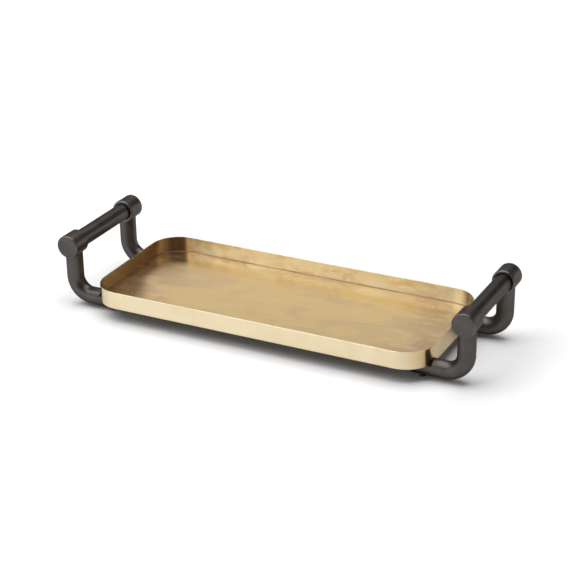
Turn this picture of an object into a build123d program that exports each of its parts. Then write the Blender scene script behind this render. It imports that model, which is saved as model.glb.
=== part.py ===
from build123d import *
import os

# A long, shallow brass tray carried between two dark handle frames.
# The pan is a flat floor plate soldered inside an upright strip bent round it.
# Each handle is two bent rods, two turned sleeves and a grip bar across them.
# Origin: on the table, under the middle of the tray.
# +X runs along the tray to its right end, +Y across it to the back, +Z up.

# Pan
pan_length = 491.0
pan_width = 210.0
rim_height = 24.0
corner_radius = 41.5
sheet = 1.5
rim_edge_round = 0.4
solder_gap = 0.05

# Legs: round rod, bent through a right angle, lapping under the pan's ends
rod_diameter = 23.8
leg_x = 288.9
leg_y = 69.8
bend_radius = 25.7
lap_end_x = 217.7
lap_end_chamfer = 0.8
rebate_above_axis = 5.3
rebate_clearance = 0.4

# Grip: a bar between two sleeves, standing over the legs
bar_above_pan = 67.8
bar_diameter = 23.8
bar_spigot_diameter = 14.0
bar_spigot_end_y = 80.0
sleeve_diameter = 32.2
sleeve_inner_y = 56.7
sleeve_outer_y = 85.9
sleeve_end_round = 1.6
sleeve_mouth_diameter = 25.4
sleeve_mouth_depth = 5.0
sleeve_mouth_round = 0.5
ring_from_mouth = 2.6
ring_width = 0.7
ring_depth = 0.3

# Dowels that join each leg to its sleeve and pin the bar's spigot
dowel_diameter = 8.0
dowel_length = 36.0
dowel_top_above_bar = 6.0
dowel_end_chamfer = 0.6

# Fixing of each leg to the pan, from below: soldered boss, M4 cap screw, washer
fixing_x = 230.8
boss_diameter = 8.0
boss_height = 6.0
boss_tapping_diameter = 4.1
boss_pocket_clearance = 0.2
screw_diameter = 4.0
screw_length = 8.0
screw_head_diameter = 7.0
screw_head_height = 4.0
screw_socket_across_flats = 3.0
screw_socket_depth = 2.0
screw_hole_diameter = 4.5
washer_diameter = 9.0
washer_thickness = 0.8
web_thickness = 3.0
counterbore_diameter = 9.2

# Rubber feet, pushed into the counterbores under the screw heads
foot_diameter = 9.1
foot_stand = 2.9
foot_edge_round = 0.8
foot_top_gap = 0.2

# Clearance on diameter for spigots and dowels in their holes
fit_clearance = 0.1

# Heights worked out from the table up
rod_z = foot_stand + rod_diameter / 2
pan_z = rod_z + rebate_above_axis
bar_z = pan_z + bar_above_pan
pocket_z = pan_z - boss_height - boss_pocket_clearance
seat_z = pocket_z - web_thickness
head_top_z = seat_z - washer_thickness
foot_top_z = head_top_z - screw_head_height - foot_top_gap
dowel_top_z = bar_z + dowel_top_above_bar

sides = {"left": -1, "right": 1}
rows = {"front": -1, "back": 1}

os.makedirs("parts", exist_ok=True)


def save(piece, node):
    """Name a finished piece and write it to its own file."""
    piece.part.label = node
    export_step(piece.part, f"parts/{node}.step")


def upright_plane(side, y):
    """Plane across Y at y, its first axis pointing away from the tray's middle."""
    return Plane(origin=(0, y, 0), x_dir=(side, 0, 0), z_dir=(0, -side, 0))


# ---- Pan ----

with BuildPart() as tray_floor:
    with BuildSketch(Plane.XY.offset(pan_z)):
        inset = sheet + solder_gap
        RectangleRounded(pan_length - 2 * inset, pan_width - 2 * inset, corner_radius - inset)
    extrude(amount=sheet)
save(tray_floor, "tray_floor")

with BuildPart() as rim_band:
    with BuildSketch(Plane.XY.offset(pan_z)):
        RectangleRounded(pan_length, pan_width, corner_radius)
        RectangleRounded(
            pan_length - 2 * sheet, pan_width - 2 * sheet, corner_radius - sheet, mode=Mode.SUBTRACT
        )
    extrude(amount=rim_height)
    fillet(rim_band.edges().group_by(Axis.Z)[-1], radius=rim_edge_round)
save(rim_band, "rim_band")

# ---- Handle frames: legs, sleeves and bars ----


def build_leg(side, row):
    """Bent rod: coped to its sleeve at the top, rebated and drilled where it laps under the pan."""
    y = row * leg_y
    with BuildPart() as leg:
        with BuildLine(upright_plane(side, y)) as route:
            bend_top = (leg_x, rod_z + bend_radius)
            bend_foot = (leg_x - bend_radius, rod_z)
            Line((leg_x, bar_z), bend_top)
            RadiusArc(bend_top, bend_foot, bend_radius)
            Line(bend_foot, (lap_end_x, rod_z))
        with BuildSketch(Plane(origin=(side * leg_x, y, bar_z), z_dir=(0, 0, -1))):
            Circle(rod_diameter / 2)
        sweep(path=route.wires()[0])
        chamfer(leg.faces().sort_by(Axis.X)[0 if side > 0 else -1].edges(), length=lap_end_chamfer)
        # Cope: the sleeve's own cylinder, a solder gap larger
        with BuildSketch(upright_plane(side, y)):
            with Locations((leg_x, bar_z)):
                Circle(sleeve_diameter / 2 + solder_gap)
            with Locations((leg_x, bar_z + sleeve_diameter / 2)):
                Rectangle(sleeve_diameter, sleeve_diameter)
        extrude(amount=rod_diameter, both=True, mode=Mode.SUBTRACT)
        # Rebate: seats the end of the pan
        with BuildSketch(upright_plane(side, y)):
            rebate_face_x = pan_length / 2 + rebate_clearance
            with Locations((rebate_face_x, pan_z)):
                Rectangle(rod_diameter * 2, rod_diameter, align=(Align.MAX, Align.MIN))
        extrude(amount=rod_diameter, both=True, mode=Mode.SUBTRACT)
        # Blind hole for the dowel, then the fixing: pocket, screw hole and counterbore
        with Locations(Plane(origin=(side * leg_x, y, dowel_top_z))):
            Hole((dowel_diameter + fit_clearance) / 2, depth=dowel_length + fit_clearance)
        with Locations(Plane(origin=(side * fixing_x, y, pan_z))):
            Hole(boss_diameter / 2 + boss_pocket_clearance, depth=pan_z - pocket_z)
        with Locations(Plane(origin=(side * fixing_x, y, 0), z_dir=(0, 0, -1))):
            CounterBoreHole(
                screw_hole_diameter / 2, counterbore_diameter / 2, counter_bore_depth=seat_z, depth=pan_z
            )
    return leg


def build_sleeve(side, row):
    """Turned sleeve: closed flat outer end, recessed mouth with a fine ring behind it, blind bore."""
    with BuildPart() as sleeve:
        with BuildSketch(Plane(origin=(side * leg_x, row * sleeve_inner_y, bar_z), z_dir=(0, row, 0))):
            Circle(sleeve_diameter / 2)
        extrude(amount=sleeve_outer_y - sleeve_inner_y)
        fillet(sleeve.edges().filter_by(GeomType.CIRCLE), radius=sleeve_end_round)
        with Locations(Plane(origin=(side * leg_x, row * sleeve_inner_y, bar_z), z_dir=(0, -row, 0))):
            CounterBoreHole(
                (bar_spigot_diameter + fit_clearance) / 2,
                sleeve_mouth_diameter / 2,
                counter_bore_depth=sleeve_mouth_depth,
                depth=bar_spigot_end_y - sleeve_inner_y + fit_clearance,
            )
        mouth_edges = sleeve.edges().filter_by(GeomType.CIRCLE).filter_by(
            lambda edge: abs(edge.radius - sleeve_mouth_diameter / 2) < fit_clearance
        )
        fillet(mouth_edges.sort_by(Axis.Y)[0 if row > 0 else -1], radius=sleeve_mouth_round)
        ring_y = row * (sleeve_inner_y + ring_from_mouth)
        with BuildSketch(Plane(origin=(side * leg_x, ring_y, bar_z), z_dir=(0, row, 0))):
            Circle(sleeve_diameter)
            Circle(sleeve_diameter / 2 - ring_depth, mode=Mode.SUBTRACT)
        extrude(amount=ring_width, mode=Mode.SUBTRACT)
        underside_z = bar_z - sleeve_diameter / 2
        with Locations(Plane(origin=(side * leg_x, row * leg_y, underside_z), z_dir=(0, 0, -1))):
            Hole((dowel_diameter + fit_clearance) / 2, depth=dowel_top_z + fit_clearance - underside_z)
    return sleeve


def build_grip_bar(side):
    """Grip bar: full diameter into both sleeve mouths, turned down to a cross-drilled spigot."""
    shoulder_y = sleeve_inner_y + sleeve_mouth_depth
    with BuildPart() as grip_bar:
        with BuildSketch(Plane(origin=(side * leg_x, 0, bar_z), z_dir=(0, 1, 0))):
            Circle(bar_diameter / 2)
        extrude(amount=shoulder_y, both=True)
        with BuildSketch(Plane(origin=(side * leg_x, 0, bar_z), z_dir=(0, 1, 0))):
            Circle(bar_spigot_diameter / 2)
        extrude(amount=bar_spigot_end_y, both=True)
        with Locations(*[Plane(origin=(side * leg_x, row * leg_y, bar_z)) for row in rows.values()]):
            Hole((dowel_diameter + fit_clearance) / 2)
    return grip_bar


for side_name, side in sides.items():
    save(build_grip_bar(side), f"grip_bar_{side_name}")
    for row_name, row in rows.items():
        save(build_leg(side, row), f"leg_{row_name}_{side_name}")
        save(build_sleeve(side, row), f"sleeve_{row_name}_{side_name}")

with BuildPart() as leg_dowels:
    with BuildSketch(Plane.XY.offset(dowel_top_z)):
        with GridLocations(2 * leg_x, 2 * leg_y, 2, 2):
            Circle(dowel_diameter / 2)
    extrude(amount=-dowel_length)
    chamfer(leg_dowels.edges().filter_by(GeomType.CIRCLE), length=dowel_end_chamfer)
save(leg_dowels, "leg_dowels")

# ---- Fixings under the pan, and the feet ----


def build_boss(side, row):
    """Brass boss soldered under the pan, tapped for the lap screw."""
    with BuildPart() as boss:
        with BuildSketch(Plane(origin=(side * fixing_x, row * leg_y, pan_z))):
            Circle(boss_diameter / 2)
            Circle(boss_tapping_diameter / 2, mode=Mode.SUBTRACT)
        extrude(amount=-boss_height)
    return boss


def build_foot(side, row):
    """Rubber plug with a rounded tread."""
    with BuildPart() as foot:
        with BuildSketch(Plane(origin=(side * fixing_x, row * leg_y, 0))):
            Circle(foot_diameter / 2)
        extrude(amount=foot_top_z)
        fillet(foot.edges().group_by(Axis.Z)[0], radius=foot_edge_round)
    return foot


for side_name, side in sides.items():
    for row_name, row in rows.items():
        save(build_boss(side, row), f"threaded_boss_{row_name}_{side_name}")
        save(build_foot(side, row), f"foot_{row_name}_{side_name}")

with BuildPart() as lap_screws:
    with BuildSketch(Plane.XY.offset(head_top_z)):
        with GridLocations(2 * fixing_x, 2 * leg_y, 2, 2):
            Circle(screw_diameter / 2)
    extrude(amount=screw_length + washer_thickness)
    with BuildSketch(Plane.XY.offset(head_top_z)):
        with GridLocations(2 * fixing_x, 2 * leg_y, 2, 2):
            Circle(screw_head_diameter / 2)
    extrude(amount=-screw_head_height)
    with BuildSketch(Plane.XY.offset(head_top_z - screw_head_height)):
        with GridLocations(2 * fixing_x, 2 * leg_y, 2, 2):
            RegularPolygon(screw_socket_across_flats / 2, 6, major_radius=False)
    extrude(amount=screw_socket_depth, mode=Mode.SUBTRACT)
save(lap_screws, "lap_screws")

with BuildPart() as lap_washers:
    with BuildSketch(Plane.XY.offset(seat_z)):
        with GridLocations(2 * fixing_x, 2 * leg_y, 2, 2):
            Circle(washer_diameter / 2)
            Circle(screw_hole_diameter / 2, mode=Mode.SUBTRACT)
    extrude(amount=-washer_thickness)
save(lap_washers, "lap_washers")
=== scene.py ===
# %% [markdown]
# # A brass tray with bronzed handles
# A long, shallow pan of brushed brass hangs between two dark handle frames. Each frame is made of bent
# rods, turned sleeves and a straight grip bar. The pan is a floor plate soldered inside an upright strip.
#
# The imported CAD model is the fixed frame: it says where everything is and how large it may be. This file
# makes each visible piece again as a smooth surface, and gives every piece its finish.

# %% Load the frame
import math

import bmesh
import bpy
import numpy as np
from mathutils import Matrix, Vector


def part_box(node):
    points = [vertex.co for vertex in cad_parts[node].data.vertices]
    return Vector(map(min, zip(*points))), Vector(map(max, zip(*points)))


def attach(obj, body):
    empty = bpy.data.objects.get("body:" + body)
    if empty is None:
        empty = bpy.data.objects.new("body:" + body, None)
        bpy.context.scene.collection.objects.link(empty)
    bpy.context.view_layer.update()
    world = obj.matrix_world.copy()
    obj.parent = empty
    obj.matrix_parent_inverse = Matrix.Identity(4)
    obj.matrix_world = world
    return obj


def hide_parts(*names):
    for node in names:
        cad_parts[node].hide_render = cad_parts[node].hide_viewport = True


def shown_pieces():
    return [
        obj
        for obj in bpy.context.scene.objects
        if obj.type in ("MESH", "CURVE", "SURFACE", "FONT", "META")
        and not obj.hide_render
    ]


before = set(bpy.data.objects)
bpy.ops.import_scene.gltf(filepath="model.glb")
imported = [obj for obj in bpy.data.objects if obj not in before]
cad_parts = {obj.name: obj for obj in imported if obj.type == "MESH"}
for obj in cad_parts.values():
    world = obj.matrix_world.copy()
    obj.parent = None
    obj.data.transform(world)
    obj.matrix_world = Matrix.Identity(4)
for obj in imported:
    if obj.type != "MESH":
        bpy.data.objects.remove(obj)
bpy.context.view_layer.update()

MM = 0.001

# %% [markdown]
# ## Measures
# All sizes come from the CAD nodes' own boxes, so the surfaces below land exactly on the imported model.
# The few that a box can't show, such as a bend's radius, are named in millimetres, here or beside the
# piece that they belong to.

# %% Measures taken from the frame
floor_low, floor_high = (np.array(corner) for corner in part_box("tray_floor"))
band_low, band_high = (np.array(corner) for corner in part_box("rim_band"))
bar_low, bar_high = (np.array(corner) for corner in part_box("grip_bar_right"))
sleeve_low, sleeve_high = (np.array(corner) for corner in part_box("sleeve_back_right"))
leg_low, leg_high = (np.array(corner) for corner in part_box("leg_back_right"))
foot_low, foot_high = (np.array(corner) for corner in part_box("foot_back_right"))

half_length, half_width = band_high[0], band_high[1]
pan_bottom, floor_top, rim_top = band_low[2], floor_high[2], band_high[2]
corner_radius = 41.5 * MM
sheet = 1.5 * MM

bar_x = (bar_low[0] + bar_high[0]) / 2
bar_z = (bar_low[2] + bar_high[2]) / 2
bar_radius = (bar_high[2] - bar_low[2]) / 2
sleeve_radius = (sleeve_high[2] - sleeve_low[2]) / 2
sleeve_inner, sleeve_outer = sleeve_low[1], sleeve_high[1]
leg_y = (leg_low[1] + leg_high[1]) / 2
rod_radius = (leg_high[1] - leg_low[1]) / 2
rod_z = leg_low[2] + rod_radius
lap_end = leg_low[0]
bend_radius = 25.7 * MM
foot_x = (foot_low[0] + foot_high[0]) / 2
foot_radius = (foot_high[0] - foot_low[0]) / 2

sides = {"left": -1, "right": 1}
rows = {"front": -1, "back": 1}
print("pan half length, half width, rim top:", half_length, half_width, rim_top)
print("bar axis x, z:", bar_x, bar_z, "rod radius:", rod_radius, "foot x:", foot_x)

# %% [markdown]
# ## From numbers to a mesh
# Every new piece is a grid of points: rows run along it, columns run round it. Each cell between four
# neighbouring points becomes one quad. Rows whose points all meet, as at a pole, are merged at the end,
# so that the skin is closed.

# %% Surface helper


def skin(name, points, around=False, along=False):
    """Object made of a grid of points (rows, columns, 3). around joins the last column to the first,
    and along joins the last row to the first. Points that coincide are merged, and faces point outwards."""
    row_count, column_count = points.shape[:2]
    row = np.arange(row_count if along else row_count - 1)[:, None]
    column = np.arange(column_count if around else column_count - 1)[None, :]
    next_row, next_column = (row + 1) % row_count, (column + 1) % column_count
    corners = [row * column_count + column, row * column_count + next_column,
               next_row * column_count + next_column, next_row * column_count + column]
    quads = np.stack(np.broadcast_arrays(*corners), axis=-1).reshape(-1, 4)
    mesh = bpy.data.meshes.new(name)
    mesh.from_pydata(points.reshape(-1, 3), [], quads.tolist())
    work = bmesh.new()
    work.from_mesh(mesh)
    bmesh.ops.remove_doubles(work, verts=work.verts, dist=1e-6)
    bmesh.ops.dissolve_degenerate(work, edges=work.edges, dist=1e-7)
    bmesh.ops.recalc_face_normals(work, faces=work.faces)
    work.to_mesh(mesh)
    work.free()
    mesh.polygons.foreach_set("use_smooth", np.ones(len(mesh.polygons), bool))
    mesh.set_sharp_from_angle(angle=math.radians(35))
    piece = bpy.data.objects.new(name, mesh)
    bpy.context.scene.collection.objects.link(piece)
    print(f"{name}: {len(mesh.vertices)} points, {len(mesh.polygons)} faces")
    return piece


def quarter_round(centre, radius, start_deg, end_deg, count=7):
    """Points of an arc in a profile's plane: centre + radius * (cos a, sin a), a running in even steps."""
    angle = np.radians(np.linspace(start_deg, end_deg, count))
    return np.stack([centre[0] + radius * np.cos(angle), centre[1] + radius * np.sin(angle)], axis=-1)


def lathe(name, profile, centre, axis="Y", turns=96):
    """Turned piece. profile holds (radius, distance along the axis), and each point is carried round the
    axis: r cos a along X, and r sin a along Z, or along Y when the axis is Z."""
    angle = np.linspace(0, 2 * np.pi, turns, endpoint=False)
    radius, distance = np.asarray(profile).T
    along_axis, across = (1, 2) if axis == "Y" else (2, 1)
    points = np.empty((len(radius), turns, 3))
    points[..., 0] = centre[0] + radius[:, None] * np.cos(angle)
    points[..., across] = centre[across] + radius[:, None] * np.sin(angle)
    points[..., along_axis] = centre[along_axis] + distance[:, None]
    return skin(name, points, around=True)


# %% [markdown]
# ## The outline of the pan
# The pan's plan is a rectangle with large round corners. The outline is worked out once, as points with
# their outward directions, and both the floor and the strip use it. Offsetting a point along its
# direction by -d gives the same outline, d smaller all round.

# %% Outline of the pan


def pan_outline(straight_x=60, straight_y=28, corner=28):
    """Points and outward directions round the outline, anticlockwise from the right end's front corner."""
    mid_x, mid_y = half_length - corner_radius, half_width - corner_radius
    pieces = []
    for quarter in range(4):
        turn = np.radians(90 * quarter + np.linspace(-90, 0, corner, endpoint=False))
        sign_x, sign_y = [(1, -1), (1, 1), (-1, 1), (-1, -1)][quarter]
        centre = np.array([sign_x * mid_x, sign_y * mid_y])
        outward = np.stack([np.cos(turn), np.sin(turn)], axis=-1)
        pieces.append((centre + corner_radius * outward, outward))
        steps = straight_y if quarter % 2 == 0 else straight_x
        end_dir = np.array([math.cos(math.radians(90 * quarter)), math.sin(math.radians(90 * quarter))])
        next_x, next_y = [(1, 1), (-1, 1), (-1, -1), (1, -1)][quarter]
        start = centre + corner_radius * end_dir
        stop = np.array([next_x * mid_x, next_y * mid_y]) + corner_radius * end_dir
        share = np.linspace(0, 1, steps, endpoint=False)[:, None]
        pieces.append((start + share * (stop - start), np.repeat(end_dir[None, :], steps, axis=0)))
    return np.concatenate([p for p, _ in pieces]), np.concatenate([d for _, d in pieces])


outline, outward = pan_outline()
outline_step = np.linalg.norm(np.roll(outline, -1, axis=0) - outline, axis=-1)
outline_run = np.concatenate([[0], np.cumsum(outline_step)[:-1]])
print(f"outline: {len(outline)} points, {outline_step.sum() * 1000:.1f} mm round")

# %% [markdown]
# ## The strip round the pan
# A rim like this is one long strip, bent round four corners, with its ends brazed together. A strip that
# has been bent and soldered by hand is never dead straight: the long sides bow in by a few tenths of a
# millimetre, and the face is slightly wavy. That is what makes a reflection in it wander.

# %% Rim strip
long_bow, short_bow = 0.45 * MM, 0.2 * MM
top_round, lower_round = 0.35 * MM, 0.2 * MM


def side_bow(points, directions):
    """How far the strip leans in from the true outline: a long even bow on the straight sides, plus
    three slow waves along each side, all fading to nothing at the corners."""
    along_x = np.clip(np.abs(directions[:, 1]), 0, 1)
    x = points[:, 0] / half_length
    y = points[:, 1] / half_width
    long_side = along_x ** 8 * np.cos(np.clip(x, -1, 1) * np.pi / 2) ** 2
    short_side = (1 - along_x) ** 8 * np.cos(np.clip(y, -1, 1) * np.pi / 2) ** 2
    wave = 1 + 0.35 * np.sin(9.0 * x + 2.1 * np.sign(directions[:, 1])) + 0.2 * np.sin(21.0 * x + 0.7)
    return long_bow * long_side * wave + short_bow * short_side


height = rim_top - pan_bottom
strip_profile = np.concatenate([
    quarter_round((-lower_round, lower_round), lower_round, -90, 0, 4),
    np.stack([np.zeros(9), np.linspace(0.1, 0.9, 9) * height], axis=-1),
    quarter_round((-top_round, height - top_round), top_round, 0, 90, 6),
    quarter_round((-sheet + top_round, height - top_round), top_round, 90, 180, 6),
    np.stack([np.full(9, -sheet), np.linspace(0.9, 0.1, 9) * height], axis=-1),
    quarter_round((-sheet + lower_round, lower_round), lower_round, 180, 270, 4),
])
bow = side_bow(outline, outward)
lean = strip_profile[:, 1] / height
offset = strip_profile[:, 0][:, None] - bow[None, :] * lean[:, None]
strip_points = np.empty((len(strip_profile), len(outline), 3))
strip_points[..., :2] = outline[None] + offset[..., None] * outward[None]
strip_points[..., 2] = pan_bottom + strip_profile[:, 1][:, None]
rim_strip = skin("rim_strip", strip_points, around=True, along=True)
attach(rim_strip, "root")
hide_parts("rim_band")


def mark_inner_face(piece):
    """Writes the attribute inner_face: 1 on the strip's inner skin, 0 outside. The distance in from the
    pan's rounded outline tells them apart, since the two skins stand a sheet's thickness apart."""
    spots = np.empty(len(piece.data.vertices) * 3)
    piece.data.vertices.foreach_get("co", spots)
    straight = [half_length - corner_radius, half_width - corner_radius]
    from_corner = np.abs(spots.reshape(-1, 3)[:, :2]) - straight
    outside = np.linalg.norm(np.maximum(from_corner, 0), axis=1)
    distance_in = corner_radius - outside - np.minimum(from_corner.max(axis=1), 0)
    inner = np.clip((distance_in / sheet - 0.5) / 0.4, 0, 1)
    attribute = piece.data.attributes.new("inner_face", "FLOAT", "POINT")
    attribute.data.foreach_set("value", inner)
    print(f"{piece.name}: {int((inner > 0.5).sum())} of {len(inner)} points on the inner face")


mark_inner_face(rim_strip)

# %% [markdown]
# ## The floor
# The floor is a flat plate, cut to drop inside the strip. Straight spokes run from a line along the
# middle out to the outline, so the grid follows the round corners. The plate is not optically flat: it
# rises and dips by about a tenth of a millimetre, which softens and shifts what it reflects. Over the
# last share of each spoke it comes back up to the exact height of the joint.

# %% Floor plate
swell, plate_dip = 0.05 * MM, 0.1 * MM
joint_gap = 0.05 * MM
edge_share = 1 / 12


def plate_swell(x, y):
    """Slow hand-made unevenness of the plate, in metres: four crossing waves of different lengths."""
    u, v = x / half_length, y / half_width
    return swell * (
        np.sin(3.1 * u + 0.4) * np.cos(2.3 * v)
        + 0.6 * np.sin(7.3 * u - 1.9 * v + 1.1)
        + 0.4 * np.sin(4.7 * v + 5.9 * u * v + 2.0)
        + 0.3 * np.sin(13.0 * u + 3.0 * v)
    )


rim_line = outline - (sheet + joint_gap) * outward
middle = np.stack([np.clip(outline[:, 0], half_width - half_length, half_length - half_width),
                   np.zeros(len(outline))], axis=-1)
spoke = np.linspace(0, 1, 64)
flat = middle[None] + spoke[:, None, None] * (rim_line - middle)[None]
top = np.empty((len(spoke), len(outline), 3))
top[..., :2] = flat
fade = np.clip((1 - spoke) / edge_share, 0, 1)[:, None]
top[..., 2] = floor_top - plate_dip * fade + plate_swell(flat[..., 0], flat[..., 1]) * fade
back_spoke = np.linspace(1, 0, 12)
bottom = np.empty((len(back_spoke), len(outline), 3))
bottom[..., :2] = middle[None] + back_spoke[:, None, None] * (rim_line - middle)[None]
bottom[..., 2] = pan_bottom
floor_plate = skin("floor_plate", np.concatenate([top, bottom]), around=True)
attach(floor_plate, "root")
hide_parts("tray_floor")

# %% [markdown]
# ## The solder line
# Where the floor meets the strip, solder has run into the corner and left a small hollow fillet. It is
# only a millimetre across, but it catches a bright line and a dark line all the way round the floor.

# %% Solder fillet
fillet_radius = 1.1 * MM
solder_below, solder_behind = 0.3 * MM, 0.2 * MM
hollow = quarter_round((-sheet - fillet_radius, fillet_radius), fillet_radius, 0, -90, 9)
behind = np.array([[-sheet - fillet_radius, -solder_below], [-sheet + solder_behind, -solder_below],
                   [-sheet + solder_behind, fillet_radius]])
fillet_profile = np.concatenate([hollow, behind])
fillet_points = np.empty((len(fillet_profile), len(outline), 3))
fillet_offset = fillet_profile[:, 0][:, None] - (bow * fillet_radius / height)[None, :]
fillet_points[..., :2] = outline[None] + fillet_offset[..., None] * outward[None]
fillet_points[..., 2] = floor_top + fillet_profile[:, 1][:, None]
solder_line = skin("solder_line", fillet_points, around=True, along=True)
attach(solder_line, "root")

# %% [markdown]
# ## The legs
# Each leg is one round rod. It stands up into its sleeve, turns through a right angle, and laps under
# the pan, where its top is cut away to seat the pan's end. A circle is carried along that route. Two
# things change the circle on the way: under the pan it is cut off flat, and at the top each point stops
# where it meets the sleeve.

# %% Legs
seat_above_axis = pan_bottom - rod_z
rebate_gap, edge_break, lap_chamfer = 0.4 * MM, 0.4 * MM, 0.8 * MM
rebate_face = half_length + rebate_gap


def leg_points(side, row):
    """Rings of points from the sleeve down, round the bend and along to the lap's end. Each section is
    its place along X, a trim for each point, the ring's shrink, and whether the top is cut off flat."""
    cut_angle = math.acos(seat_above_axis / rod_radius)
    over = np.linspace(-cut_angle, cut_angle, 25)
    under = np.linspace(cut_angle, 2 * np.pi - cut_angle, 72)[1:-1]
    angle = np.concatenate([over, under])
    inward_part, across_part = rod_radius * np.cos(angle), side * row * rod_radius * np.sin(angle)

    down = np.linspace(bar_z - sleeve_radius, rod_z + bend_radius, 14)[1:]
    turn = np.radians(np.linspace(0, 90, 33))[1:]
    run = np.linspace(bar_x - bend_radius, rebate_face + edge_break, 4)[1:]
    x = np.concatenate([np.full(14, bar_x), bar_x - bend_radius * (1 - np.cos(turn)), run])
    z = np.concatenate([[bar_z - sleeve_radius], down, rod_z + bend_radius * (1 - np.sin(turn)),
                        np.full(3, rod_z)])
    lead = np.concatenate([np.zeros(14), turn, np.full(3, np.pi / 2)])
    round_rings = np.empty((len(x), len(angle), 3))
    round_rings[..., 0] = x[:, None] - np.cos(lead)[:, None] * inward_part
    round_rings[..., 1] = across_part
    round_rings[..., 2] = z[:, None] + np.sin(lead)[:, None] * inward_part
    round_rings[0, :, 2] = bar_z - np.sqrt(sleeve_radius ** 2 - inward_part ** 2)
    top_pole = np.empty((1, len(angle), 3))
    top_pole[0] = [bar_x, 0, bar_z - sleeve_radius]

    raised = inward_part > seat_above_axis - 1e-9
    whole = np.ones(len(angle))
    sections = [
        (rebate_face, np.where(raised, 1 - edge_break / rod_radius, 1.0), 1.0, False),
        (rebate_face, whole, 1.0, True),
        ((rebate_face + lap_end) / 2, whole, 1.0, True),
        (lap_end + lap_chamfer, whole, 1.0, True),
        (lap_end, whole, 1 - lap_chamfer / rod_radius, True),
        (lap_end, whole, 0.0, True),
    ]
    rings = [top_pole, round_rings]
    for ring_x, trim, shrink, cut in sections:
        ring = np.empty((1, len(angle), 3))
        lift = inward_part * trim
        lift = np.minimum(lift, seat_above_axis) if cut else lift
        ring[0, :, 0] = ring_x
        ring[0, :, 1] = across_part * trim * shrink
        ring[0, :, 2] = rod_z + lift * shrink
        rings.append(ring)
    points = np.concatenate(rings)
    points[..., 0] *= side
    points[..., 1] += row * leg_y
    return points


for side_name, side in sides.items():
    for row_name, row in rows.items():
        leg = skin(f"bent_leg_{row_name}_{side_name}", leg_points(side, row), around=True)
        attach(leg, "root")
        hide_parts(f"leg_{row_name}_{side_name}")

# %% [markdown]
# ## Sleeves and grip bars
# These are turned pieces, so each is a profile carried round its axis. The sleeve's outer end is closed
# and flat, with a softened edge. Its inner end is a mouth, bored wider than the bar, and the narrow dark
# ring between the two is a shadow gap. A fine ring is scribed just behind the mouth. The bar has no taper.

# %% Sleeves
end_round = 1.6 * MM
mouth_radius, mouth_round, mouth_depth = 12.7 * MM, 0.5 * MM, 5.0 * MM
ring_start, ring_end, ring_depth = 2.6 * MM, 3.3 * MM, 0.3 * MM
ring_slope, beside_ring = 0.2 * MM, 0.3 * MM
spigot_radius = 7.0 * MM
sleeve_length = sleeve_outer - sleeve_inner
for side_name, side in sides.items():
    for row_name, row in rows.items():
        profile = np.concatenate([
            [[spigot_radius, mouth_depth], [mouth_radius, mouth_depth], [mouth_radius, mouth_round]],
            quarter_round((mouth_radius + mouth_round, mouth_round), mouth_round, 180, 270, 5),
            quarter_round((sleeve_radius - end_round, end_round), end_round, -90, 0, 9),
            [[sleeve_radius, ring_start], [sleeve_radius - ring_depth, ring_start + ring_slope],
             [sleeve_radius - ring_depth, ring_end - ring_slope], [sleeve_radius, ring_end]],
            [[sleeve_radius, ring_end + beside_ring], [sleeve_radius, sleeve_length / 2]],
            quarter_round((sleeve_radius - end_round, sleeve_length - end_round), end_round, 0, 90, 9),
            [[sleeve_radius / 2, sleeve_length], [0, sleeve_length]],
            [[0, mouth_depth + MM], [spigot_radius, mouth_depth + MM], [spigot_radius, mouth_depth]],
        ])
        profile[:, 1] *= row
        centre = (side * bar_x, row * sleeve_inner, bar_z)
        sleeve = lathe(f"sleeve_{row_name}_{side_name}_turned", profile, centre)
        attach(sleeve, "root")
        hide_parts(f"sleeve_{row_name}_{side_name}")

# %% Grip bars
bar_end = sleeve_inner + mouth_depth
bar_chamfer = 0.5 * MM
for side_name, side in sides.items():
    profile = [[0, -bar_end], [bar_radius - bar_chamfer, -bar_end], [bar_radius, -bar_end + bar_chamfer],
               [bar_radius, 0], [bar_radius, bar_end - bar_chamfer], [bar_radius - bar_chamfer, bar_end],
               [0, bar_end]]
    grip = lathe(f"grip_bar_{side_name}_turned", profile, (side * bar_x, 0, bar_z))
    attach(grip, "root")
    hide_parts(f"grip_bar_{side_name}")

# %% [markdown]
# ## Braze at the top of each leg
# A leg is brazed to its sleeve, and the braze leaves a hollow fillet round the joint. Towards the sleeve's
# closed end there is room, so it is full there and the leg seems to flow into the sleeve. Towards the
# mouth it is thin. It could be a bevel on a joined mesh. A surface of its own keeps both pieces whole.

# %% Braze fillets
braze_full, braze_thin = 2.4 * MM, 0.9 * MM
buried = 0.8 * MM


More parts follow.
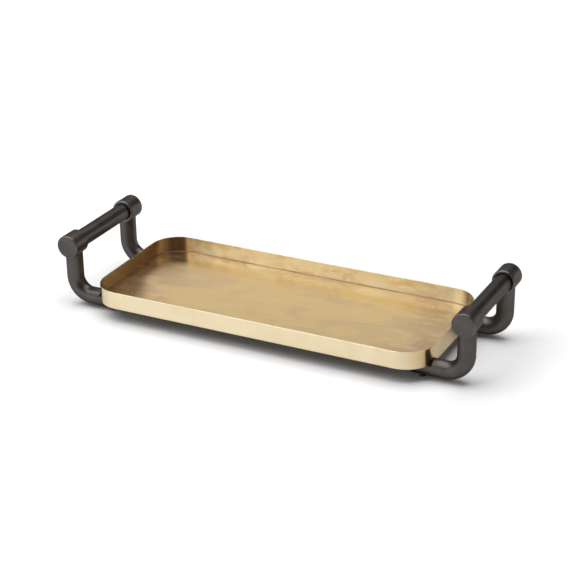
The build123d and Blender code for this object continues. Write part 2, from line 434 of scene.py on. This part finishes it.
def braze_points(side, row):
    """Rings round the leg. At each angle the skin is a curve from the sleeve's underside, a distance s
    out from the leg, to the leg's side, s below: the quadratic curve (1-t)^2 a + 2t(1-t) b + t^2 c,
    whose middle point b is the sharp corner. s swells from thin at the mouth to full at the closed end."""
    angle = np.linspace(0, 2 * np.pi, 72, endpoint=False)
    x_part, y_part = np.cos(angle), np.sin(angle)
    size = braze_thin + (braze_full - braze_thin) * (0.5 + 0.5 * y_part) ** 1.5

    def under_sleeve(radius):
        """Height of the sleeve's underside above the point at this radius from the leg's axis."""
        return bar_z - np.sqrt(sleeve_radius ** 2 - (radius * x_part) ** 2)

    corner_z = under_sleeve(rod_radius)
    wide = rod_radius + size
    share = np.linspace(0, 1, 9)[:, None]
    radius = (1 - share) ** 2 * wide + (1 - (1 - share) ** 2) * rod_radius
    z = ((1 - share) ** 2 * under_sleeve(wide) + 2 * share * (1 - share) * corner_z
         + share ** 2 * (corner_z - size))
    inner = np.full_like(angle, rod_radius - buried)
    radius = np.concatenate([radius, [inner, inner, wide]])
    z = np.concatenate([z, [corner_z - size, corner_z + buried, under_sleeve(wide) + buried]])
    return np.stack([side * bar_x + radius * x_part, row * (leg_y + radius * y_part), z], axis=-1)


for side_name, side in sides.items():
    for row_name, row in rows.items():
        braze = skin(f"braze_{row_name}_{side_name}", braze_points(side, row), around=True, along=True)
        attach(braze, "root")

# %% [markdown]
# ## Feet
# Each leg stands on a small rubber plug, pushed up into the leg from below. Its tread has a rounded edge,
# and a shallow dimple in the middle where the mould's pin stood.

# %% Feet
foot_height = foot_high[2] - foot_low[2]
tread_round = 0.8 * MM
dimple_radius, dimple_depth, dimple_round = 1.6 * MM, 0.5 * MM, 0.3 * MM
foot_profile = np.concatenate([
    [[0, dimple_depth], [dimple_radius - dimple_round, dimple_depth]],
    quarter_round((dimple_radius + dimple_round, dimple_round), dimple_round, 180, 270, 5),
    quarter_round((foot_radius - tread_round, tread_round), tread_round, -90, 0, 7),
    [[foot_radius, foot_height], [0, foot_height]],
])
for side_name, side in sides.items():
    for row_name, row in rows.items():
        foot = lathe(f"tread_{row_name}_{side_name}", foot_profile, (side * foot_x, row * leg_y, foot_low[2]),
                     axis="Z", turns=48)
        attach(foot, "root")
        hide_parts(f"foot_{row_name}_{side_name}")

# %% [markdown]
# ## Shader arithmetic
# A procedural finish is mostly arithmetic on patterns. This small class wraps a shader socket, so that
# a line such as `0.3 + 0.1 * cloud` adds the Math nodes it needs.

# %% Shader helper


class Wire:
    """One output socket of a node tree, with arithmetic that adds Math nodes."""

    def __init__(self, tree, socket):
        self.tree, self.socket = tree, socket

    def node(self, kind, settings=None, **inputs):
        """Adds a node of a kind with its settings. An input is given by its name, or as _2 by its
        number. A Wire is linked to it, and a plain value is set on it."""
        made = self.tree.nodes.new(kind)
        for key, value in (settings or {}).items():
            setattr(made, key, value)
        for key, value in inputs.items():
            socket = made.inputs[int(key[1:]) if key[0] == "_" else key.replace("_", " ")]
            if isinstance(value, Wire):
                self.tree.links.new(value.socket, socket)
            else:
                socket.default_value = value
        return made

    def out(self, kind, output, settings=None, **inputs):
        """The Wire that leaves a new node by one of its outputs."""
        return Wire(self.tree, self.node(kind, settings, **inputs).outputs[output])

    def math(self, operation, *values):
        """The result of a Math node."""
        inputs = {f"_{index}": value for index, value in enumerate(values)}
        return self.out("ShaderNodeMath", 0, {"operation": operation}, **inputs)

    def __add__(self, other):
        return self.math("ADD", self, other)

    def __mul__(self, other):
        return self.math("MULTIPLY", self, other)

    def __sub__(self, other):
        return self.math("SUBTRACT", self, other)

    def __rsub__(self, other):
        return self.math("SUBTRACT", other, self)

    __radd__, __rmul__ = __add__, __mul__

    def parts(self):
        """The X, Y and Z parts of a vector."""
        split = self.node("ShaderNodeSeparateXYZ", Vector=self)
        return [Wire(self.tree, socket) for socket in split.outputs]

    def clamp(self, low=0.0, high=1.0):
        return self.math("MINIMUM", self.math("MAXIMUM", self, low), high)

    def band(self, low, high):
        """0 below low, 1 above high, and a smooth step between."""
        return self.out("ShaderNodeMapRange", "Result", {"interpolation_type": "SMOOTHSTEP"},
                        Value=self, From_Min=low, From_Max=high)

    def tint(self, first, second):
        """Colour between two colours, this wire being the share of the second."""
        return self.out("ShaderNodeMix", 2, {"data_type": "RGBA"}, _0=self, _6=first, _7=second)


def start_finish(name):
    """New material: returns it, its shader node, and a Wire that carries the object's coordinates."""
    material = bpy.data.materials.new(name)
    material.use_nodes = True
    tree = material.node_tree
    shader = tree.nodes["Principled BSDF"]
    place = Wire(tree, tree.nodes.new("ShaderNodeTexCoord").outputs["Object"])
    return material, shader, place


def pattern(place, size, stretch=(1, 1, 1), detail=3.0, rough=0.5, twist=0.0, shift=(0, 0, 0)):
    """Cloudy noise from 0 to 1. size is its grain in metres, stretch lengthens it along each axis."""
    scale = tuple(1 / (size * s) for s in stretch)
    moved = place.out("ShaderNodeMapping", 0, {}, Vector=place, Scale=scale, Location=shift)
    return place.out("ShaderNodeTexNoise", 0, {}, Vector=moved, Scale=1.0, Detail=detail,
                     Roughness=rough, Distortion=twist)


def feed(place, shader, **inputs):
    """Links Wires to the shader's inputs, and sets plain values on them."""
    for key, value in inputs.items():
        socket = shader.inputs[key.replace("_", " ")]
        if isinstance(value, Wire):
            place.tree.links.new(value.socket, socket)
        else:
            socket.default_value = value


def bump(height, depth):
    """Normal from a height pattern; depth is in metres."""
    return height.out("ShaderNodeBump", 0, {}, Height=height, Distance=depth, Strength=1.0)


def give_finish(material, *pieces):
    """Makes a material the only one on each piece, and prints how many nodes it is made of."""
    for piece in pieces:
        piece.data.materials.clear()
        piece.data.materials.append(material)
    print(f"{material.name}: made of {len(material.node_tree.nodes)} nodes, pieces given it: {len(pieces)}")


# %% [markdown]
# ## Brushed brass
# The floor was rubbed along its length, then burnished unevenly, so it has soft patches of warmer and
# duller brass under very fine lengthwise strokes. Towards the ends, where cloths and hands turn back, the
# patches crowd together. Beside the walls, where the wheel can't reach, the brass stays paler. The
# underside is painted near black, as painted shade, so that it throws less brass-coloured light into the
# shadow under the tray. The strokes could be drawn as an image. Noise stretched along X gives the same
# look at any size, and the same pattern drives the colour, the gloss and the bump.

# %% Brass for the floor


def end_wear(place):
    """0 in the middle of the pan, 1 at its ends and along its edges: the larger of the two distances."""
    across = place.parts()
    to_end = across[0].math("ABSOLUTE", across[0]).band(0.55 * half_length, half_length)
    to_side = across[1].math("ABSOLUTE", across[1]).band(0.6 * half_width, 1.05 * half_width)
    return to_end.math("MAXIMUM", to_end, to_side * 0.75)


def brushed_floor(name, gold, pale, rose, brown, roughness, stroke_depth):
    """Brass plate: gold, pale beside the walls, rose and brown burnish patches, lengthwise strokes."""
    material, shader, place = start_finish(name)
    wear = end_wear(place)
    clouds = pattern(place, 0.055, (1.6, 1, 1), 2, 0.5, 0.9)
    smears = pattern(place, 0.026, (2.2, 1, 1), 3, 0.5, 0.8, (3, 1, 0))
    strokes = pattern(place, 0.0018, (45, 1, 1), 2, 0.5, 0.0, (0, 7, 0))
    hairs = pattern(place, 0.0006, (160, 1, 1), 2, 0.6)
    # Painted shade: the underside is painted near black, so that it throws less brass-coloured light into the
    # shadow under the tray.
    painted_dark_underside = 1 - place.parts()[2].band(pan_bottom, pan_bottom + 0.8 * sheet)
    across = place.parts()[1]
    from_middle = across.math("ABSOLUTE", across) + 0.012 * (smears - 0.5)
    by_the_wall = from_middle.band(0.62 * half_width, 0.86 * half_width)
    rosy = (clouds + 0.3 * (smears - 0.5)).band(0.52 - 0.18 * wear, 0.62 - 0.10 * wear)
    brown_patches_and_painted_dark = smears + 0.3 * (clouds - 0.5) + 0.25 * (strokes - 0.5)
    brown_patches_and_painted_dark = brown_patches_and_painted_dark.band(0.52 - 0.12 * wear, 0.64 - 0.08 * wear)
    colour = (by_the_wall * 0.85).tint(gold, pale)
    colour = (rosy * (0.45 + 0.55 * wear)).tint(colour, rose)
    kept_clean = 1 - 0.6 * by_the_wall
    colour = (brown_patches_and_painted_dark * (0.06 + 0.54 * wear) * kept_clean).tint(colour, brown)
    colour = (strokes.band(0.54, 0.74) * (0.02 + 0.36 * wear) * kept_clean).tint(colour, brown)
    colour = (painted_dark_underside * 0.85).tint(colour, (0.06, 0.055, 0.05, 1))
    gloss = roughness + 0.10 * (clouds - 0.5) + 0.05 * (strokes - 0.5) + 0.03 * wear + 0.25 * painted_dark_underside
    feed(place, shader, Base_Color=colour, Metallic=1.0, Roughness=gloss.clamp(0.08, 0.9),
         Normal=bump(hairs * 0.5 + strokes * 0.5, stroke_depth))
    return material


floor_brass = brushed_floor("floor_brass", (0.80, 0.57, 0.262, 1), (0.81, 0.64, 0.41, 1),
                            (0.71, 0.51, 0.30, 1), (0.46, 0.29, 0.14, 1), 0.25, 0.000005)
give_finish(floor_brass, floor_plate)
stained_joint = brushed_floor("stained_joint", (0.40, 0.25, 0.14, 1), (0.34, 0.21, 0.13, 1),
                              (0.26, 0.16, 0.10, 1), (0.12, 0.075, 0.045, 1), 0.42, 0.00002)
give_finish(stained_joint, solder_line)

# %% [markdown]
# The strip was brushed along its length while it was still flat. Brush lines spread a reflection across
# themselves and leave it sharp along themselves, so on the bent strip every light stands as an upright
# band. Principled's anisotropy does that: the spread is turned a quarter turn, to stand upright. The inner
# face is painted paler, a painted sheen for the bright banks it mirrors. Its left end is painted darker
# brown, darkest at the left bends, and the outer face is painted darker at the right end: these three are
# painted dark reflections.

# %% Brass for the strip


def brushed_strip(name, pale, warm, inside, stain_and_painted_reflection, brown_patches_and_painted_dark, painted_dark_reflection, roughness, line_depth, spread):
    """Brass strip: two tones mixed by slow patches, lines along the strip, and the upright spread.
    The inner face is painted paler, a painted sheen. Its left end and left bends, and the outer face's right
    end, are painted darker, as painted dark reflections."""
    material, shader, place = start_finish(name)
    right = place.parts()[0] * (1 / half_length)
    left = right * -1
    patches = pattern(place, 0.05, (1, 1, 0.8), 3, 0.55, 0.4)
    clouds = pattern(place, 0.020, (1.8, 1.8, 0.9), 3, 0.6, 0.8, (5, 2, 1))
    upright = pattern(place, 0.008, (1, 1, 30), 2, 0.5, 0.0, (2, 9, 4))
    lines = pattern(place, 0.0006, (90, 90, 1), 2, 0.6)
    inner = place.out("ShaderNodeAttribute", "Fac", {"attribute_name": "inner_face"})
    # Painted dark reflections: these masks darken the inner face's left end and left bends, and the outer
    # face's right end.
    left_end_painted_dark = left.band(0.79, 0.90) * inner
    left_bends_painted_dark = left.band(0.84, 0.875) * (1 - left.band(0.965, 0.985)) * inner
    right_end_painted_dark = right.band(0.86, 0.99) * (1 - 0.55 * inner)
    colour = (patches.band(0.35, 0.7) * 0.7 + upright.band(0.45, 0.75) * 0.3).tint(pale, warm)
    # Painted sheen: the whole inner face is painted paler.
    colour = (inner * 0.95).tint(colour, inside)
    colour = (inner * clouds.band(0.48, 0.60) * 0.5).tint(colour, stain_and_painted_reflection)
    colour = (right_end_painted_dark * (0.7 + 0.6 * clouds)).clamp().tint(colour, stain_and_painted_reflection)
    colour = (left_end_painted_dark * 0.9).tint(colour, brown_patches_and_painted_dark)
    colour = (left_bends_painted_dark * 0.7).tint(colour, painted_dark_reflection)
    gloss = roughness + 0.06 * (patches - 0.5) + 0.05 * (lines - 0.5) + 0.04 * (upright - 0.5)
    feed(place, shader, Base_Color=colour, Metallic=1.0, Roughness=gloss.clamp(0.05, 0.9),
         Anisotropic=spread, Anisotropic_Rotation=0.25, Normal=bump(lines, line_depth))
    return material


# Colours in order: two outer tones, the inner face's painted pale sheen, stains mixed with the right end's
# painted dark reflection, and the painted dark reflections of the left end and the left bends.
strip_brass = brushed_strip("strip_brass", (0.74, 0.63, 0.435, 1), (0.69, 0.57, 0.36, 1),
                            (0.77, 0.73, 0.57, 1), (0.62, 0.455, 0.25, 1), (0.68, 0.45, 0.22, 1),
                            (0.32, 0.20, 0.11, 1), 0.25, 0.00001, 0.88)
give_finish(strip_brass, rim_strip)

# %% [markdown]
# ## Dark bronze
# The frames are darkened bronze, waxed to a satin. The skin has a fine pebble that breaks up the
# highlights, and the tone drifts slightly between brown and grey. Darkened metal still reflects as a
# metal does, without a diffuse glow, so it is fully metallic with a very dark colour. The rounded edges
# of the sleeves carry a painted highlight, a paler colour found by their distance from the tray's middle.

# %% Dark bronze finishes


def dark_bronze(name, dark, light, roughness, pebble_depth, edge_highlight):
    """Darkened bronze: a very dark metal, its tone and gloss drifting slowly over a fine pebble.
    The last argument sets a painted highlight: a paler colour on the rounded edges at both ends of the
    sleeves."""
    material, shader, place = start_finish(name)
    pebble = pattern(place, 0.0010, detail=2, rough=0.6)
    drift = pattern(place, 0.02, detail=3)
    mottle_noise = pattern(place, 0.006, detail=4, rough=0.65, shift=(2, 5, 1))
    _, across, height = place.parts()
    from_middle = across.math("ABSOLUTE", across)
    on_sleeves = height.band(bar_z - sleeve_radius - MM, bar_z - sleeve_radius)
    lip = 1 - from_middle.band(sleeve_inner + 0.4 * MM, sleeve_inner + 1.5 * MM)
    rim = from_middle.band(sleeve_outer - 1.4 * MM, sleeve_outer - 0.6 * MM) * (
        1 - from_middle.band(sleeve_outer - 0.3 * MM, sleeve_outer))
    colour = (drift.band(0.3, 0.7) * 0.7 + mottle_noise.band(0.45, 0.75) * 0.3).tint(dark, light)
    # Painted highlight: the sleeves' lips and rims are painted paler where their rounded edges catch the
    # light.
    edges = on_sleeves * (lip + rim) * (0.4 + mottle_noise) * edge_highlight
    colour = edges.clamp().tint(colour, (0.26, 0.24, 0.22, 1))
    gloss = roughness + 0.08 * (drift - 0.5) + 0.10 * (mottle_noise - 0.5)
    feed(place, shader, Base_Color=colour, Metallic=1.0, Roughness=gloss,
         Specular_Tint=(0.55, 0.54, 0.53, 1), Normal=bump(pebble, pebble_depth))
    return material


# The last number of each is the strength of the painted edge highlight.
frame_bronze = dark_bronze("frame_bronze", (0.082, 0.073, 0.067, 1), (0.104, 0.096, 0.091, 1),
                           0.42, 0.00004, 0.45)
bar_bronze = dark_bronze("bar_bronze", (0.072, 0.065, 0.060, 1), (0.092, 0.085, 0.080, 1),
                         0.41, 0.000015, 0.0)
rubber, rubber_shader, rubber_place = start_finish("foot_rubber_black")
feed(rubber_place, rubber_shader, Roughness=0.8,
     Base_Color=pattern(rubber_place, 0.002).tint((0.015, 0.015, 0.015, 1), (0.03, 0.03, 0.03, 1)))
steel, steel_shader, steel_place = start_finish("plated_steel")
feed(steel_place, steel_shader, Metallic=1.0, Roughness=0.35,
     Base_Color=pattern(steel_place, 0.004).tint((0.5, 0.5, 0.52, 1), (0.62, 0.62, 0.62, 1)))
boss_brass, boss_shader, boss_place = start_finish("boss_brass")
feed(boss_place, boss_shader, Metallic=1.0, Roughness=0.3,
     Base_Color=pattern(boss_place, 0.003).tint((0.65, 0.50, 0.27, 1), (0.72, 0.57, 0.33, 1)))

finish_of = [
    (frame_bronze, ("bent_leg", "sleeve", "braze")),
    (bar_bronze, ("grip_bar",)),
    (rubber, ("tread",)),
    (boss_brass, ("threaded_boss",)),
    (steel, ("leg_dowels", "lap_screws", "lap_washers")),
]
for material, starts in finish_of:
    give_finish(material, *[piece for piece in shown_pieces() if piece.name.startswith(starts)])

# %% [markdown]
# ## Studio
# A pale floor, soft boxes and a camera. Brushed brass shows the room more than it shows itself, so each
# light is placed for a face. From this camera the pan's floor mirrors what stands behind at 25 degrees,
# which is the dim panel there, and that keeps it gold. The inside of the back wall mirrors the front left, so
# two long banks stand there, a bright low one and a weaker one over it. The key and the overhead box light
# the table white and run along the tops of the rods. The panels on the right lift the frames' dark sides.

# %% Floor and light
studio = bpy.data.meshes.new("studio_floor")
reach = 9.0
studio.from_pydata([(-reach, -reach, 0), (reach, -reach, 0), (reach, reach, 0), (-reach, reach, 0)], [],
                   [(0, 1, 2, 3)])
studio_floor = bpy.data.objects.new("studio_floor", studio)
bpy.context.scene.collection.objects.link(studio_floor)
paper, paper_shader, paper_place = start_finish("studio_paper")
feed(paper_place, paper_shader, Base_Color=(0.9, 0.9, 0.9, 1), Roughness=0.9, Specular_IOR_Level=0.0)
studio.materials.append(paper)


def direction(azimuth, elevation):
    """Unit vector: azimuth is measured from the front (-Y) towards the right (+X), in degrees."""
    a, e = math.radians(azimuth), math.radians(elevation)
    return np.array([math.sin(a) * math.cos(e), -math.cos(a) * math.cos(e), math.sin(e)])


def soft_box(name, azimuth, elevation, distance, width, tall, radiance):
    """Rectangular light aimed at the tray. Its angles are in degrees, its distance and its two sizes in
    metres, and its power is its radiance times pi times its area."""
    light = bpy.data.lights.new(name, "AREA")
    light.shape, light.size, light.size_y = "RECTANGLE", width, tall
    light.energy = radiance * math.pi * width * tall
    lamp = bpy.data.objects.new(name, light)
    bpy.context.scene.collection.objects.link(lamp)
    at = direction(azimuth, elevation) * distance
    lamp.location = at
    lamp.rotation_mode = "QUATERNION"
    lamp.rotation_quaternion = Vector(at).to_track_quat("Z", "Y")
    lamp.visible_camera = False
    print(f"{name}: {width} by {tall} m, {light.energy:.1f} W")


soft_box("low_bank_front_left", -36, 7, 5.2, 5.2, 1.3, 2.3)
soft_box("middle_bank_front_left", -34, 25, 5.2, 4.6, 1.6, 0.54)
soft_box("key_front_left", -54, 50, 4.8, 4.2, 2.2, 3.2)
soft_box("overhead", -150, 80, 4.4, 4.6, 4.6, 3.3)
soft_box("panel_behind", 205, 23, 6.0, 3.8, 2.1, 0.80)
soft_box("panel_back_right", 150, 12, 6.0, 3.2, 1.8, 0.40)
soft_box("low_panel_back_right", 150, 3, 6.0, 4.4, 0.6, 3.4)
soft_box("wall_right", 98, 30, 6.0, 7.0, 3.2, 0.38)

world = bpy.data.worlds.new("studio_walls")
bpy.context.scene.world = world
world.use_nodes = True
walls = world.node_tree.nodes["Background"]
walls.inputs["Color"].default_value = (1, 1, 1, 1)
walls.inputs["Strength"].default_value = 0.06

# %% [markdown]
# ## Camera
# A long lens stands back from the tray, a little to its right and above, so its far end is hardly smaller
# than the near one. It looks just above the middle of the pan, and is rolled by under a degree.

# %% Camera
view_azimuth, view_elevation, view_roll = 26.912, 24.880, math.radians(-0.830)
view_distance, aim_right, aim_up = 2.25004, 0.00742, 0.02183
back = direction(view_azimuth, view_elevation)
level_right = np.cross(-back, [0, 0, 1])
level_right /= np.linalg.norm(level_right)
level_up = np.cross(level_right, -back)
right = math.cos(view_roll) * level_right + math.sin(view_roll) * level_up
up = -math.sin(view_roll) * level_right + math.cos(view_roll) * level_up
eye = back * view_distance + level_right * aim_right + level_up * aim_up
eye[2] += pan_bottom

camera_data = bpy.data.cameras.new("camera")
camera_data.sensor_width = 36.0
camera_data.lens = 103.082
camera_data.clip_start, camera_data.clip_end = 0.05, 50
camera = bpy.data.objects.new("camera", camera_data)
bpy.context.scene.collection.objects.link(camera)
bpy.context.scene.camera = camera
camera.matrix_world = Matrix([[right[i], up[i], back[i], eye[i]] for i in range(3)] + [[0, 0, 0, 1]])
bpy.context.scene.view_settings.view_transform = "Standard"
print("camera at", eye.round(4), "with a lens of", round(camera_data.lens, 1), "mm")
